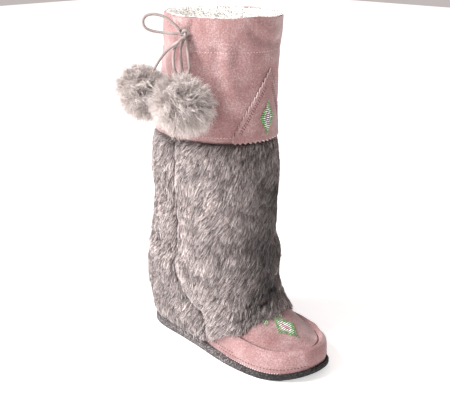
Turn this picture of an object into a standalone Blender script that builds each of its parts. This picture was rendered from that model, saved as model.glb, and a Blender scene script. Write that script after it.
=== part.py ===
"""Mukluk boot for the right foot, standing empty on its sole.

The toe points to -Y, the wearer's right (outer) side is -X, and +Z is up. The origin is on the floor
under the middle of the heel. All sizes are in metres.
"""

import math
import random
from collections import namedtuple

import bmesh
import bpy
from mathutils import Vector

# Sole
SOLE_LENGTH = 0.262
BALL_WIDTH = 0.1005
HEEL_WIDTH = 0.0725
HEEL_CENTRE = 0.036
HEEL_THICKNESS = 0.010
TOE_THICKNESS = 0.0070
TOE_SPRING = 0.010
ARCH_RISE = 0.0008
TOE_INFLARE = 0.005
SOLE_BEVEL = 0.0012
SOLE_LIP_HEIGHT = 0.0018
SOLE_LIP_INSET = 0.0011

# Upper
UPPER_HEIGHT = 0.398
INSTEP_HEIGHT = 0.096
SHAFT_DEPTH = 0.143
SHAFT_WIDTH = 0.117
SHAFT_CENTRE = 0.097
COLLAR_LEAN = 0.014
UPPER_WALL = 0.0028
INSOLE_THICKNESS = 0.005
GAP = 0.0004

# Panels over the upper
APRON_THICKNESS = 0.0014
CUFF_THICKNESS = 0.0018
CUFF_FLARE = 0.0030
PEAK_THICKNESS = 0.0013
BEAD_THICKNESS = 0.0012
FUR_DEPTH = 0.0070
FUR_EDGE = 0.0042
FUR_EDGE_LIFT = 0.0014
FUR_ANKLE_SWELL = 0.0040
FUR_LOCK = 0.0035
FUR_DROOP = 0.0035
FUR_LOCK_TAPER = 0.45
OVERLAY_GAP = 0.0007

# Distances along the surface, in columns or rows
SEAM_SHARE = 0.05
HEM_CLEARANCE = 0.03
APRON_CLEARANCE = 0.08
APRON_START = 0.2
APRON_SHORTEST = 0.3
CUFF_FLARE_REACH = 1.2
FUR_SIDE_TAPER = 1.2
FUR_TOP_TAPER = 0.9
FUR_HEM_TAPER = 1.3
FUR_SWELL_REACH = 1.4
LOCK_HEM_CLEARANCE = 0.5
LOCK_TOP_CLEARANCE = 0.6

# Drawstring and pompoms
CORD_DIAMETER = 0.0030
KNOT_RADIUS = 0.0054
FRONT_POMPOM = 0.0300
REAR_POMPOM = 0.0280
POMPOM_CORE = 0.73
POMPOM_DROOP = 0.0010
POMPOM_LOCK_TAPER = 0.30
FACET_SHARE = 0.965
POMPOM_BARE_ANGLE = math.radians(30)
ROUTE_SAMPLES = 24
ROUTE_STEP = 2.5 * CORD_DIAMETER

# Shares of the sole's length from the heel
SPRING_START = 0.80
ARCH_START = 0.34
ARCH_END = 0.57
THINNING_START = 0.48
THINNING_LENGTH = 0.42
INFLARE_START = 0.55
WIDENING_START = 0.10
WIDENING_LENGTH = 0.65

HALF_COLUMNS = 20
COLUMNS = 2 * HALF_COLUMNS
SHARP_ANGLE = math.radians(40)
SHORTEST_LOCK = 0.7
LONGEST_LOCK = 1.2
SEED = 7

SUEDE = (0.62, 0.38, 0.39)
RABBIT = (0.42, 0.37, 0.35)
CREPE = (0.16, 0.14, 0.14)
FELT = (0.75, 0.70, 0.62)
BEADS = (0.35, 0.62, 0.33)
LACE = (0.40, 0.35, 0.34)

DOWN = Vector((0.0, 0.0, -1.0))

# Half widths over those of an ellipse, from heel to toe, on the outer and the inner side
Width = namedtuple("Width", "station outer inner")
OUTLINE = [
    Width(0.00, 1.83, 1.83),
    Width(0.07, 1.64, 1.64),
    Width(0.14, 1.42, 1.42),
    Width(0.28, 1.11, 1.08),
    Width(0.42, 1.02, 0.86),
    Width(0.56, 1.03, 0.88),
    Width(0.70, 1.09, 1.08),
    Width(0.80, 1.20, 1.26),
    Width(0.90, 1.30, 1.42),
    Width(1.00, 1.38, 1.58),
]

# Rings round the foot. A reach is a share of the sole's length from the heel, a height is a share of the
# instep height above the sole, the widths are shares of the sole's and of the shaft's, and leg says how
# far the ring has turned from the foot's outline to the shaft's oval
RING_COLUMNS = "name front_reach front_height back_reach back_height fore_width heel_width leg_width leg"
Ring = namedtuple("Ring", RING_COLUMNS)
FOOT_RINGS = [
    Ring("feather", 0.985, 0.000, 0.036, 0.000, 0.945, 0.800, 0.70, 0.00),
    Ring("low wall", 0.991, 0.095, 0.029, 0.135, 0.980, 0.860, 0.72, 0.00),
    Ring("high wall", 0.989, 0.175, 0.023, 0.280, 0.985, 0.930, 0.75, 0.00),
    Ring("shoulder", 0.984, 0.234, 0.022, 0.405, 0.965, 0.980, 0.78, 0.00),
    Ring("ridge", 0.967, 0.268, 0.024, 0.490, 0.920, 1.010, 0.80, 0.02),
    Ring("seam", 0.951, 0.226, 0.027, 0.570, 0.866, 1.030, 0.82, 0.05),
    Ring("apron toe", 0.940, 0.228, 0.029, 0.610, 0.826, 1.045, 0.83, 0.09),
    Ring("apron fore", 0.893, 0.296, 0.032, 0.680, 0.782, 1.070, 0.84, 0.20),
    Ring("apron middle", 0.822, 0.372, 0.036, 0.765, 0.740, 1.100, 0.86, 0.38),
    Ring("apron back", 0.745, 0.448, 0.040, 0.860, 0.740, 1.130, 0.88, 0.58),
    Ring("throat", 0.697, 0.540, 0.046, 0.960, 0.760, 1.170, 0.90, 0.76),
    Ring("instep", 0.665, 0.680, 0.050, 1.065, 0.800, 1.200, 0.925, 0.90),
    Ring("ankle", 0.645, 0.860, 0.050, 1.180, 0.850, 1.220, 0.95, 1.00),
]

# Rings round the shaft. Height is a share of the way from the ankle to the collar, tilt is what is left
# of the ankle ring's slope, and lean is a share of the collar's lean towards the toe
Level = namedtuple("Level", "name height tilt depth width lean")
SHAFT_LEVELS = [
    Level("low leg", 0.150, 0.70, 0.960, 0.935, 0.00),
    Level("calf", 0.285, 0.40, 0.965, 0.955, 0.00),
    Level("high calf", 0.415, 0.15, 0.985, 0.985, 0.00),
    Level("hem", 0.545, 0.00, 1.000, 1.000, 0.00),
    Level("cuff low", 0.670, 0.00, 0.990, 0.992, 0.25),
    Level("cuff middle", 0.790, 0.00, 0.980, 0.985, 0.55),
    Level("cuff high", 0.905, 0.00, 0.975, 0.980, 0.80),
    Level("collar", 1.000, 0.00, 0.975, 0.985, 1.00),
]
ROW = {ring.name: index for index, ring in enumerate(FOOT_RINGS + SHAFT_LEVELS)}
TOP_ROW = ROW["collar"]

# The fur's lower edge: its row at a share of the way round from toe to heel
Hem = namedtuple("Hem", "turn row")
FUR_HEM = [
    Hem(0.00, 9.2),
    Hem(0.10, 9.1),
    Hem(0.20, 8.5),
    Hem(0.30, 7.1),
    Hem(0.35, 5.8),
    Hem(0.40, 3.9),
    Hem(0.45, 2.0),
    Hem(0.50, 0.8),
    Hem(0.55, 0.15),
    Hem(1.00, 0.15),
]
FUR_SEAM = 10
FUR_SWELL_ROW = 12.25

# The pinked peak on the cuff's front: half width at a row
Peak = namedtuple("Peak", "row left right")
PEAK_OUTLINE = [Peak(16.05, -3.5, 4.3), Peak(18.05, -0.1, 0.7)]
PEAK_TEETH_PER_COLUMN = 2.5
PEAK_TOOTH = 0.05

# Bead diamonds: half width in cells of each row of cells, from one tip to the other
TOE_DIAMOND = [0, 1, 2, 3, 2, 1, 0]
TOE_DIAMOND_MIDDLE = (0.1, 8.15)
TOE_CELL = (0.55, 0.28)
CUFF_DIAMOND = [0, 1, 2, 3, 4, 4, 3, 2, 1, 0]
CUFF_DIAMOND_MIDDLE = (0.27, 16.67)
CUFF_CELL = (0.27, 0.105)

# Where the drawstring is tied, and its cords' routes from the knot's middle, in millimetres
KNOT_COLUMN = -9.3
KNOT_ROW = 19.4
UPPER_LOOP = [
    (-3.2, 3.2, 4.2), (-9.4, 9.5, 12.6), (-14.2, 14.4, 17.2), (-19.3, 19.5, 19.5), (-24.3, 24.5, 19.7),
    (-28.4, 28.7, 17.2), (-30.0, 30.3, 11.7), (-28.4, 28.7, 6.2), (-24.3, 24.5, 3.2), (-17.9, 18.1, 1.4),
    (-11.0, 11.1, 0.4), (-4.4, 4.4, -0.2),
]
LOWER_LOOP = [
    (-2.3, 2.3, -5.4), (-7.6, 4.8, -13.0), (-12.4, 3.2, -21.0), (-15.5, 0.2, -28.0), (-16.4, -2.2, -34.4),
    (-14.7, -4.0, -39.9), (-11.0, -8.0, -42.2), (-7.3, -12.0, -39.9), (-5.6, -13.8, -34.4),
    (-4.6, -11.9, -28.0), (-2.6, -8.6, -21.0), (-0.6, -4.8, -13.0), (1.4, -1.4, -5.7),
]
REAR_TAIL = [(-4.2, -3.7, -3.2), (-9.5, -0.5, -8.0), (-15.5, 12.0, -19.0), (-22.9, 23.2, -37.9)]
FRONT_TAIL = [(2.3, 2.7, -5.1), (-1.0, 3.9, -16.0), (-4.6, -0.3, -30.0), (-7.1, -4.2, -40.0)]
REAR_POMPOM_DROP = (-22.5, 40.2, -64.4)
FRONT_POMPOM_DROP = (-22.4, -19.1, -69.9)


def smooth(share):
    """Ease from 0 to 1 with level ends."""
    share = min(max(share, 0.0), 1.0)
    return share * share * (3.0 - 2.0 * share)


def mix(start, end, share):
    return start + (end - start) * share


def read_table(table, place, column):
    """Read a column of a table between its rows, on a smooth curve through them."""
    places = [row[0] for row in table]
    values = [getattr(row, column) for row in table]
    if place <= places[0]:
        return values[0]
    if place >= places[-1]:
        return values[-1]
    low = max(index for index in range(len(places) - 1) if places[index] <= place)

    def slope(index):
        before = max(index - 1, 0)
        after = min(index + 1, len(places) - 1)
        return (values[after] - values[before]) / (places[after] - places[before])

    step = places[low + 1] - places[low]
    t = (place - places[low]) / step
    return (
        (2 * t**3 - 3 * t**2 + 1) * values[low]
        + (t**3 - 2 * t**2 + t) * step * slope(low)
        + (3 * t**2 - 2 * t**3) * values[low + 1]
        + (t**3 - t**2) * step * slope(low + 1)
    )


def sole_bottom(station):
    """Height of the sole's underside: flat at heel and forefoot, raised at the waist and the toe."""
    toe = TOE_SPRING * max(0.0, (station - SPRING_START) / (1 - SPRING_START)) ** 2
    waist = min(max((station - ARCH_START) / (ARCH_END - ARCH_START), 0.0), 1.0)
    return toe + ARCH_RISE * math.sin(math.pi * waist) ** 2


def sole_top(station):
    thinning = smooth((station - THINNING_START) / THINNING_LENGTH)
    return sole_bottom(station) + mix(HEEL_THICKNESS, TOE_THICKNESS, thinning)


def station_at(y):
    return (HEEL_CENTRE - y) / SOLE_LENGTH


def turn_of(column):
    """Angle from the toe, 0, to the heel, pi, and the side: 1 is inner, -1 is outer."""
    wrapped = (column + HALF_COLUMNS) % COLUMNS - HALF_COLUMNS
    return math.pi * abs(wrapped) / HALF_COLUMNS, 1 if wrapped >= 0 else -1


def foot_half_width(angle, side, fore, heel):
    share = (1 + math.cos(angle)) / 2
    width = mix(HEEL_WIDTH * heel, BALL_WIDTH * fore, smooth((share - WIDENING_START) / WIDENING_LENGTH))
    return width / 2 * read_table(OUTLINE, share, "inner" if side > 0 else "outer") * math.sin(angle)


def foot_middle(station):
    return TOE_INFLARE * max(0.0, (station - INFLARE_START) / (1 - INFLARE_START)) ** 2


def ring_point(column, row):
    """A point of the upper's outer surface, on a ring of the tables."""
    angle, side = turn_of(column)
    front = (1 + math.cos(angle)) / 2
    ring = FOOT_RINGS[min(row, ROW["ankle"])]
    height = GAP + mix(ring.back_height, ring.front_height, front) * INSTEP_HEIGHT
    if row <= ROW["ankle"]:
        station = mix(ring.back_reach, ring.front_reach, front)
        foot = foot_half_width(angle, side, ring.fore_width, ring.heel_width)
        shaft = SHAFT_WIDTH / 2 * ring.leg_width * math.sin(angle)
        x = side * mix(foot, shaft, ring.leg) + foot_middle(station) * (1 - ring.leg)
        base = mix(sole_top(station), HEEL_THICKNESS, ring.leg)
        foot_y = HEEL_CENTRE - station * SOLE_LENGTH
        return Vector((x, foot_y, base + height))
    level = SHAFT_LEVELS[row - len(FOOT_RINGS)]
    ankle_z = HEEL_THICKNESS + height
    level_ankle = HEEL_THICKNESS + GAP + (ring.back_height + ring.front_height) / 2 * INSTEP_HEIGHT
    z = mix(level_ankle, UPPER_HEIGHT, level.height) + (ankle_z - level_ankle) * level.tilt
    x = side * SHAFT_WIDTH / 2 * level.width * math.sin(angle)
    middle_y = HEEL_CENTRE - SHAFT_CENTRE - COLLAR_LEAN * level.lean
    y = middle_y - SHAFT_DEPTH / 2 * level.depth * math.cos(angle)
    return Vector((x, y, z))


def surface_grid():
    """The upper's outer points and their outward normals, ring by ring."""
    points = [[ring_point(column, row) for column in range(COLUMNS)] for row in range(TOP_ROW + 1)]
    normals = []
    for row in range(TOP_ROW + 1):
        above = points[min(row + 1, TOP_ROW)]
        below = points[max(row - 1, 0)]
        ring = []
        for column in range(COLUMNS):
            along = points[row][(column + 1) % COLUMNS] - points[row][column - 1]
            normal = along.cross(above[column] - below[column])
            if row in (0, TOP_ROW):
                normal.z = 0.0
            ring.append(normal.normalized())
        normals.append(ring)
    return points, normals


POINTS, NORMALS = surface_grid()


def skin(column, row, depth):
    """A point at a depth outside the upper's surface, between columns and rows where needed."""
    first = math.floor(column)
    low = min(math.floor(row), TOP_ROW - 1)

    def corner(c, r):
        return POINTS[r][c % COLUMNS] + NORMALS[r][c % COLUMNS] * depth

    below = corner(first, low).lerp(corner(first + 1, low), column - first)
    above = corner(first, low + 1).lerp(corner(first + 1, low + 1), column - first)
    return below.lerp(above, row - low)


def outward(column, row):
    return (skin(column, row, UPPER_WALL) - skin(column, row, 0.0)).normalized()


def finish(name, builder, colour, roughness):
    """Turn a bmesh into a named object with its own material, all its quads cut the same way."""
    bmesh.ops.triangulate(builder, faces=builder.faces, quad_method="FIXED")
    bmesh.ops.recalc_face_normals(builder, faces=builder.faces)
    mesh = bpy.data.meshes.new(name)
    builder.to_mesh(mesh)
    builder.free()
    mesh.shade_smooth()
    mesh.set_sharp_from_angle(angle=SHARP_ANGLE)
    piece = bpy.data.objects.new(name, mesh)
    bpy.context.scene.collection.objects.link(piece)
    give_material(piece, colour, roughness)


def give_material(piece, colour, roughness):
    material = bpy.data.materials.new(piece.name)
    material.use_nodes = True
    shader = material.node_tree.nodes["Principled BSDF"]
    shader.inputs["Base Color"].default_value = (*colour, 1.0)
    shader.inputs["Roughness"].default_value = roughness
    shader.inputs["Metallic"].default_value = 0.0
    piece.data.materials.append(material)


def add_cell(builder, corners, mirrored):
    """Add a face over the corners that differ, so started that every layer is cut the same way later."""
    ordered = corners[1:] + corners[:1] if mirrored else corners
    distinct = [vert for index, vert in enumerate(ordered) if vert is not ordered[index - 1]]
    return builder.faces.new(distinct) if len(distinct) > 2 else None


def add_walls(builder, edges):
    """Close a shell's border: each outer edge with no neighbour is joined to the inner edge under it."""
    for (start, end), (under_start, under_end) in edges.items():
        if (end, start) not in edges:
            builder.faces.new((start, end, under_end, under_start))


def panel(builder, columns, low, high, inner, outer, closed=False):
    """A shell between two depths of the upper's surface, over the columns and from row low to row high.

    Returns the outer face, column and row of each cell that the ends leave whole.
    """
    bottom = math.floor(min(low(column) for column in columns))
    top = math.ceil(max(high(column) for column in columns))
    corners = {}

    def corner(index, row, depth_at, side):
        column = columns[index]
        place = round(min(max(row, low(column)), high(column)), 6)
        key = (index, place, side)
        if key not in corners:
            corners[key] = builder.verts.new(skin(column, place, depth_at(column, place)))
        return corners[key]

    whole = []
    edges = {}
    for index in range(len(columns) if closed else len(columns) - 1):
        after = (index + 1) % len(columns)
        for row in range(bottom, top):
            spots = [(index, row), (after, row), (after, row + 1), (index, row + 1)]
            outside = [corner(i, r, outer, 1) for i, r in spots]
            inside = [corner(i, r, inner, 0) for i, r in spots]
            mirrored = (columns[index] + HALF_COLUMNS) % COLUMNS >= HALF_COLUMNS
            face = add_cell(builder, outside, mirrored)
            if face is None:
                continue
            add_cell(builder, inside, mirrored)
            for side in range(4):
                start, end = outside[side], outside[(side + 1) % 4]
                if start is not end:
                    edges[(start, end)] = (inside[side], inside[(side + 1) % 4])
            if len(face.verts) == 4:
                whole.append((face, columns[index] + 0.5, row + 0.5))
    add_walls(builder, edges)
    return whole


def cell_panel(builder, middle, cell, chart, inner, outer):
    """A stepped figure of cells on the upper's surface: chart holds each row's half width in cells."""
    corners = {}

    def corner(across, up, depth, side):
        key = (across, up, side)
        if key not in corners:
            column = middle[0] + (across - 0.5) * cell[0]
            row = middle[1] + (up - len(chart) / 2) * cell[1]
            corners[key] = builder.verts.new(skin(column, row, depth(column, row)))
        return corners[key]

    edges = {}
    for up, half in enumerate(chart):
        for across in range(-half, half + 1):
            spots = [(across, up), (across + 1, up), (across + 1, up + 1), (across, up + 1)]
            outside = [corner(i, j, outer, 1) for i, j in spots]
            inside = [corner(i, j, inner, 0) for i, j in spots]
            builder.faces.new(outside)
            builder.faces.new(inside)
            for side in range(4):
                edges[(outside[side], outside[(side + 1) % 4])] = (inside[side], inside[(side + 1) % 4])
    add_walls(builder, edges)


def stack(builder, rings):
    """A solid through rings of one point a column, closed below and above by strips from side to side."""
    loops = [[builder.verts.new(point) for point in ring] for ring in rings]
    for lower, upper in zip(loops, loops[1:]):
        for column in range(COLUMNS):
            after = (column + 1) % COLUMNS
            builder.faces.new((lower[column], lower[after], upper[after], upper[column]))
    for loop in (loops[0], loops[-1]):
        for column in range(HALF_COLUMNS):
            corners = [loop[column], loop[column + 1], loop[-column - 1], loop[-column]]
            add_cell(builder, corners, False)


def grow_locks(builder, cells, length, droop, taper, chance):
    """Raise a tapered lock on chosen faces, each leaning out and down from its own face."""
    for face, away, down in cells:
        grown = bmesh.ops.extrude_discrete_faces(builder, faces=[face])["faces"][0]
        middle = grown.calc_center_median()
        rise = away * length * chance.uniform(SHORTEST_LOCK, LONGEST_LOCK)
        reach = rise + down * droop * chance.uniform(SHORTEST_LOCK, LONGEST_LOCK)
        for vert in grown.verts:
            vert.co = middle + (vert.co - middle) * taper + reach


def sole_edge(column, inset):
    """The sole's outline at a column, drawn in by inset, with its station."""
    def outline_point(place):
        angle, side = turn_of(place)
        station = (1 + math.cos(angle)) / 2
        x = side * foot_half_width(angle, side, 1.0, 1.0) + foot_middle(station)
        return Vector((x, HEEL_CENTRE - station * SOLE_LENGTH, 0.0))

    along = outline_point(column + 1) - outline_point(column - 1)
    point = outline_point(column)
    return point - along.cross(Vector((0.0, 0.0, 1.0))).normalized() * inset, station_at(point.y)


def make_outsole():
    """Crepe rubber unit: a bevelled tread, an upright side and a lip under the upper's edge."""
    def ring(inset, height):
        loop = []
        for column in range(COLUMNS):
            point, station = sole_edge(column, inset)
            loop.append((point.x, point.y, height(station)))
        return loop

    builder = bmesh.new()
    stack(builder, [
        ring(SOLE_BEVEL, sole_bottom),
        ring(0.0, lambda station: sole_bottom(station) + SOLE_BEVEL),
        ring(0.0, lambda station: sole_top(station) - SOLE_LIP_HEIGHT),
        ring(SOLE_LIP_INSET, lambda station: sole_top(station) - SOLE_LIP_HEIGHT + SOLE_LIP_INSET / 2),
        ring(SOLE_LIP_INSET, sole_top),
    ])
    finish("outsole", builder, CREPE, 0.95)


def make_insole():
    """A flat felt pad between the walls, lying on the sole."""
    def ring(rise):
        loop = []
        for column in range(COLUMNS):
            point = skin(column, 0, -UPPER_WALL - GAP)
            loop.append((point.x, point.y, sole_top(station_at(point.y)) + GAP + rise))
        return loop

    builder = bmesh.new()
    stack(builder, [ring(0.0), ring(INSOLE_THICKNESS)])
    finish("insole", builder, FELT, 0.95)


def always(value):
    return lambda column, row=0: value


def raised(depth, step):
    return lambda column, row: depth(column, row) + step


def make_upper():
    """The lined vamp, quarters and shaft as one hollow wall, open at the collar and over the sole."""
    builder = bmesh.new()
    columns = list(range(COLUMNS))
    panel(builder, columns, always(0), always(TOP_ROW), always(-UPPER_WALL), always(0.0), closed=True)
    finish("upper", builder, SUEDE, 0.9)


def fur_hem(column):
    return read_table(FUR_HEM, turn_of(column)[0] / math.pi, "row")


def apron_outer(column, row):
    return GAP + APRON_THICKNESS


def make_apron():
    """The moccasin's top piece, inside the raised seam and up to the fur."""
    builder = bmesh.new()
    low = ROW["seam"] + APRON_START
    span = max(column for column in range(HALF_COLUMNS) if fur_hem(column) > low + APRON_SHORTEST)
    panel(
        builder,
        list(range(-span, span + 1)),
        always(low),
        lambda column: fur_hem(column) - APRON_CLEARANCE,
        always(GAP),
        apron_outer,
    )
    finish("apron", builder, SUEDE, 0.9)


def cuff_inner(column, row):
    return GAP + CUFF_FLARE * (1 - smooth((row - ROW["hem"]) / CUFF_FLARE_REACH))


def cuff_outer(column, row):
    return cuff_inner(column, row) + CUFF_THICKNESS


def make_cuff():
    """The suede band round the collar, standing off a little at its lower edge over the fur."""
    builder = bmesh.new()
    columns = list(range(COLUMNS))
    panel(builder, columns, always(ROW["hem"]), always(TOP_ROW), cuff_inner, cuff_outer, closed=True)
    finish("cuff", builder, SUEDE, 0.9)


def peak_outer(column, row):
    return cuff_outer(column, row) + OVERLAY_GAP + PEAK_THICKNESS


def make_peak():
    """The pointed patch on the cuff's front, with a pinked edge."""
    base, apex = PEAK_OUTLINE
    count = round((base.right - base.left) * PEAK_TEETH_PER_COLUMN * 2)
    columns = [base.left + (base.right - base.left) * index / count for index in range(count + 1)]

    def high(column):
        if column < apex.left:
            climb = (column - base.left) / (apex.left - base.left)
        elif column > apex.right:
            climb = (base.right - column) / (base.right - apex.right)
        else:
            climb = 1.0
        tooth = PEAK_TOOTH if columns.index(column) % 2 else 0.0
        return mix(base.row, apex.row, climb) + PEAK_TOOTH + tooth

    builder = bmesh.new()
    panel(builder, columns, always(base.row), high, raised(cuff_outer, OVERLAY_GAP), peak_outer)
    finish("cuff_peak", builder, SUEDE, 0.9)


def make_beadwork():
    """The bead diamonds as low panels, one on the apron and one on the peak."""
    for name, middle, cell, chart, under in (
        ("toe_beadwork", TOE_DIAMOND_MIDDLE, TOE_CELL, TOE_DIAMOND, apron_outer),
        ("cuff_beadwork", CUFF_DIAMOND_MIDDLE, CUFF_CELL, CUFF_DIAMOND, peak_outer),
    ):
        builder = bmesh.new()
        inner = raised(under, OVERLAY_GAP)
        cell_panel(builder, middle, cell, chart, inner, raised(inner, BEAD_THICKNESS))
        finish(name, builder, BEADS, 0.3)


def make_fur(name, columns, low):
    """Rabbit fur over the upper, thin at its edges and swelling at the ankle, with locks that lean down."""
    def depth(column, row):
        seam = min(abs(column - columns[0]), abs(column - columns[-1]))
        above_hem = (row - low(column)) / FUR_HEM_TAPER
        share = smooth(min(seam / FUR_SIDE_TAPER, (ROW["hem"] - row) / FUR_TOP_TAPER, above_hem))
        swell = smooth(1 - abs(row - FUR_SWELL_ROW) / FUR_SWELL_REACH)
        return GAP + mix(FUR_EDGE, FUR_DEPTH + FUR_ANKLE_SWELL * swell, share)

    def under(column, row):
        return GAP + FUR_EDGE_LIFT * (1 - smooth((row - low(column)) / FUR_HEM_TAPER))

    builder = bmesh.new()
    top = ROW["hem"] - HEM_CLEARANCE
    cells = panel(builder, columns, low, always(top), under, depth)
    chance = random.Random(SEED)
    chosen = []
    for face, column, row in cells:
        every_other = (math.floor(column) + math.floor(row)) % 2 == 0
        if every_other and low(column) + LOCK_HEM_CLEARANCE < row < top - LOCK_TOP_CLEARANCE:
            away = outward(column, row)
            down = DOWN - away * DOWN.dot(away)
            chosen.append((face, away, down.normalized()))
    grow_locks(builder, chosen, FUR_LOCK, FUR_DROOP, FUR_LOCK_TAPER, chance)
    finish(name, builder, RABBIT, 1.0)


def make_pompom(name, centre, radius, cords):
    """A ball of fur: a faceted core with a lock on each face, apart from where a cord goes in."""
    builder = bmesh.new()
    bmesh.ops.create_icosphere(builder, subdivisions=2, radius=radius * POMPOM_CORE)
    chosen = []
    for face in list(builder.faces):
        away = face.calc_center_median().normalized()
        if all(away.angle(cord) > POMPOM_BARE_ANGLE for cord in cords):
            chosen.append((face, away, DOWN))
    length = radius * (1 - POMPOM_CORE)
    grow_locks(builder, chosen, length, POMPOM_DROOP, POMPOM_LOCK_TAPER, random.Random(SEED))
    bmesh.ops.translate(builder, verts=builder.verts, vec=centre)
    finish(name, builder, RABBIT, 1.0)


def smooth_route(points, step):
    """Points a step apart along a smooth curve through the route's points."""
    samples = []
    padded = [points[0] * 2 - points[1], *points, points[-1] * 2 - points[-2]]
    for a, b, c, d in zip(padded, padded[1:], padded[2:], padded[3:]):
        for index in range(ROUTE_SAMPLES):
            t = index / ROUTE_SAMPLES
            square = (a * 2 - b * 5 + c * 4 - d) * t**2
            cube = (b * 3 - a - c * 3 + d) * t**3
            samples.append((b * 2 + (c - a) * t + square + cube) / 2)
    samples.append(points[-1])
    lengths = [0.0]
    for before, after in zip(samples, samples[1:]):
        lengths.append(lengths[-1] + (after - before).length)
    count = max(2, round(lengths[-1] / step))
    route = []
    for index in range(count + 1):
        reach = lengths[-1] * index / count
        place = max(i for i, length in enumerate(lengths) if length <= reach + 1e-9)
        if place == len(samples) - 1:
            route.append(samples[-1])
            continue
        share = (reach - lengths[place]) / (lengths[place + 1] - lengths[place])
        route.append(samples[place].lerp(samples[place + 1], share))
    return route


def make_cord(name, points):
    curve = bpy.data.curves.new(name, "CURVE")
    curve.dimensions = "3D"
    curve.bevel_depth = CORD_DIAMETER / 2
    curve.bevel_resolution = 2
    curve.use_fill_caps = True
    route = smooth_route(points, ROUTE_STEP)
    spline = curve.splines.new("POLY")
    spline.points.add(len(route) - 1)
    for target, point in zip(spline.points, route):
        target.co = (*point, 1.0)
    piece = bpy.data.objects.new(name, curve)
    bpy.context.scene.collection.objects.link(piece)
    give_material(piece, LACE, 0.85)


def make_knot(middle):
    """The bow's knot: the cord's crossing turns, drawn tight into a ball."""
    builder = bmesh.new()
    bmesh.ops.create_icosphere(builder, subdivisions=2, radius=KNOT_RADIUS)
    bmesh.ops.translate(builder, verts=builder.verts, vec=middle)
    finish("drawstring_knot", builder, LACE, 0.85)


def millimetres(triple):
    return Vector(triple) / 1000


def make_drawstring():
    """The bow on the outer side: a knot, two loops, and two tails that end in pompoms."""
    seat = GAP + CUFF_THICKNESS + GAP + KNOT_RADIUS
    knot = skin(KNOT_COLUMN, KNOT_ROW, seat)
    make_knot(knot)
    for name, route in (("drawstring_upper_loop", UPPER_LOOP), ("drawstring_lower_loop", LOWER_LOOP)):
        make_cord(name, [knot + millimetres(point) for point in route])
    for side, tail, drop, radius in (
        ("rear", REAR_TAIL, REAR_POMPOM_DROP, REAR_POMPOM),
        ("front", FRONT_TAIL, FRONT_POMPOM_DROP, FRONT_POMPOM),
    ):
        centre = knot + millimetres(drop)
        route = [knot + millimetres(point) for point in tail]
        entry = (route[-1] - centre).normalized()
        route.append(centre + entry * (radius * POMPOM_CORE * FACET_SHARE + GAP))
        make_cord("drawstring_" + side + "_tail", route)
        make_pompom("pompom_" + side, centre, radius, [entry])


for old in list(bpy.data.objects):
    bpy.data.objects.remove(old, do_unlink=True)

make_outsole()
make_upper()
make_insole()
make_apron()
seam = FUR_SEAM - SEAM_SHARE
make_fur("fur_front", [-seam, *range(1 - FUR_SEAM, FUR_SEAM), seam], fur_hem)
seam = FUR_SEAM + SEAM_SHARE
make_fur("fur_back", [seam, *range(FUR_SEAM + 1, COLUMNS - FUR_SEAM), COLUMNS - seam], fur_hem)
make_cuff()
make_peak()
make_beadwork()
make_drawstring()
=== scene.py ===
"""Mukluk boot for the right foot: what the eye sees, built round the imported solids.

The toe points to -Y, the outer side with the bow is -X, and +Z is up, in metres.
"""

import math

import bpy
import numpy as np
from mathutils import Matrix, Vector, kdtree, noise
from mathutils.bvhtree import BVHTree


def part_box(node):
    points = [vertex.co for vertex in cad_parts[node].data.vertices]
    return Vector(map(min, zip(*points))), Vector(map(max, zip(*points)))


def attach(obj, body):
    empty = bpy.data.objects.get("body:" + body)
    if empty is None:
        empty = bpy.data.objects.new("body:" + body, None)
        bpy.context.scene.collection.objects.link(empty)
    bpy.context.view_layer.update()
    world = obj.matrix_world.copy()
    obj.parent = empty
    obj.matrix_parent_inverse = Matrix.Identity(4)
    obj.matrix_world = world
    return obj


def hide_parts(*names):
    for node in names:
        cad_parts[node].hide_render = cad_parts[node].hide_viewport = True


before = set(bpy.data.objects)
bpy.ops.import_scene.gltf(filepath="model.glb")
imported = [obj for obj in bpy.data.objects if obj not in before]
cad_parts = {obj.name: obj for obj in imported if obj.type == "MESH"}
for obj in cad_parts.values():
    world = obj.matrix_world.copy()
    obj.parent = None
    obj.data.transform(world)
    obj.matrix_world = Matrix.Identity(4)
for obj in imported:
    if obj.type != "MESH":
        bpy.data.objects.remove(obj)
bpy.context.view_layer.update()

# Camera. The photograph looks at the boot's outer front quarter from a little above the cuff, through a
# long lens, and its frame is 450 by 400.
CAMERA_PLACE = (-0.65214, -0.72469, 0.49042)
CAMERA_TILT = math.radians(71.364)
CAMERA_TURN = math.radians(-45.24)
CAMERA_SENSOR = 36.0
CAMERA_LENS = 65.49


def new_object(name, data):
    """A new object in the scene, on a mesh, a curve, a lamp or a camera."""
    made = bpy.data.objects.new(name, data)
    bpy.context.scene.collection.objects.link(made)
    return made


camera = new_object("camera", bpy.data.cameras.new("camera"))
camera.location = CAMERA_PLACE
camera.rotation_euler = (CAMERA_TILT, 0.0, CAMERA_TURN)
camera.data.sensor_width = CAMERA_SENSOR
camera.data.lens = CAMERA_LENS
bpy.context.scene.camera = camera


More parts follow.
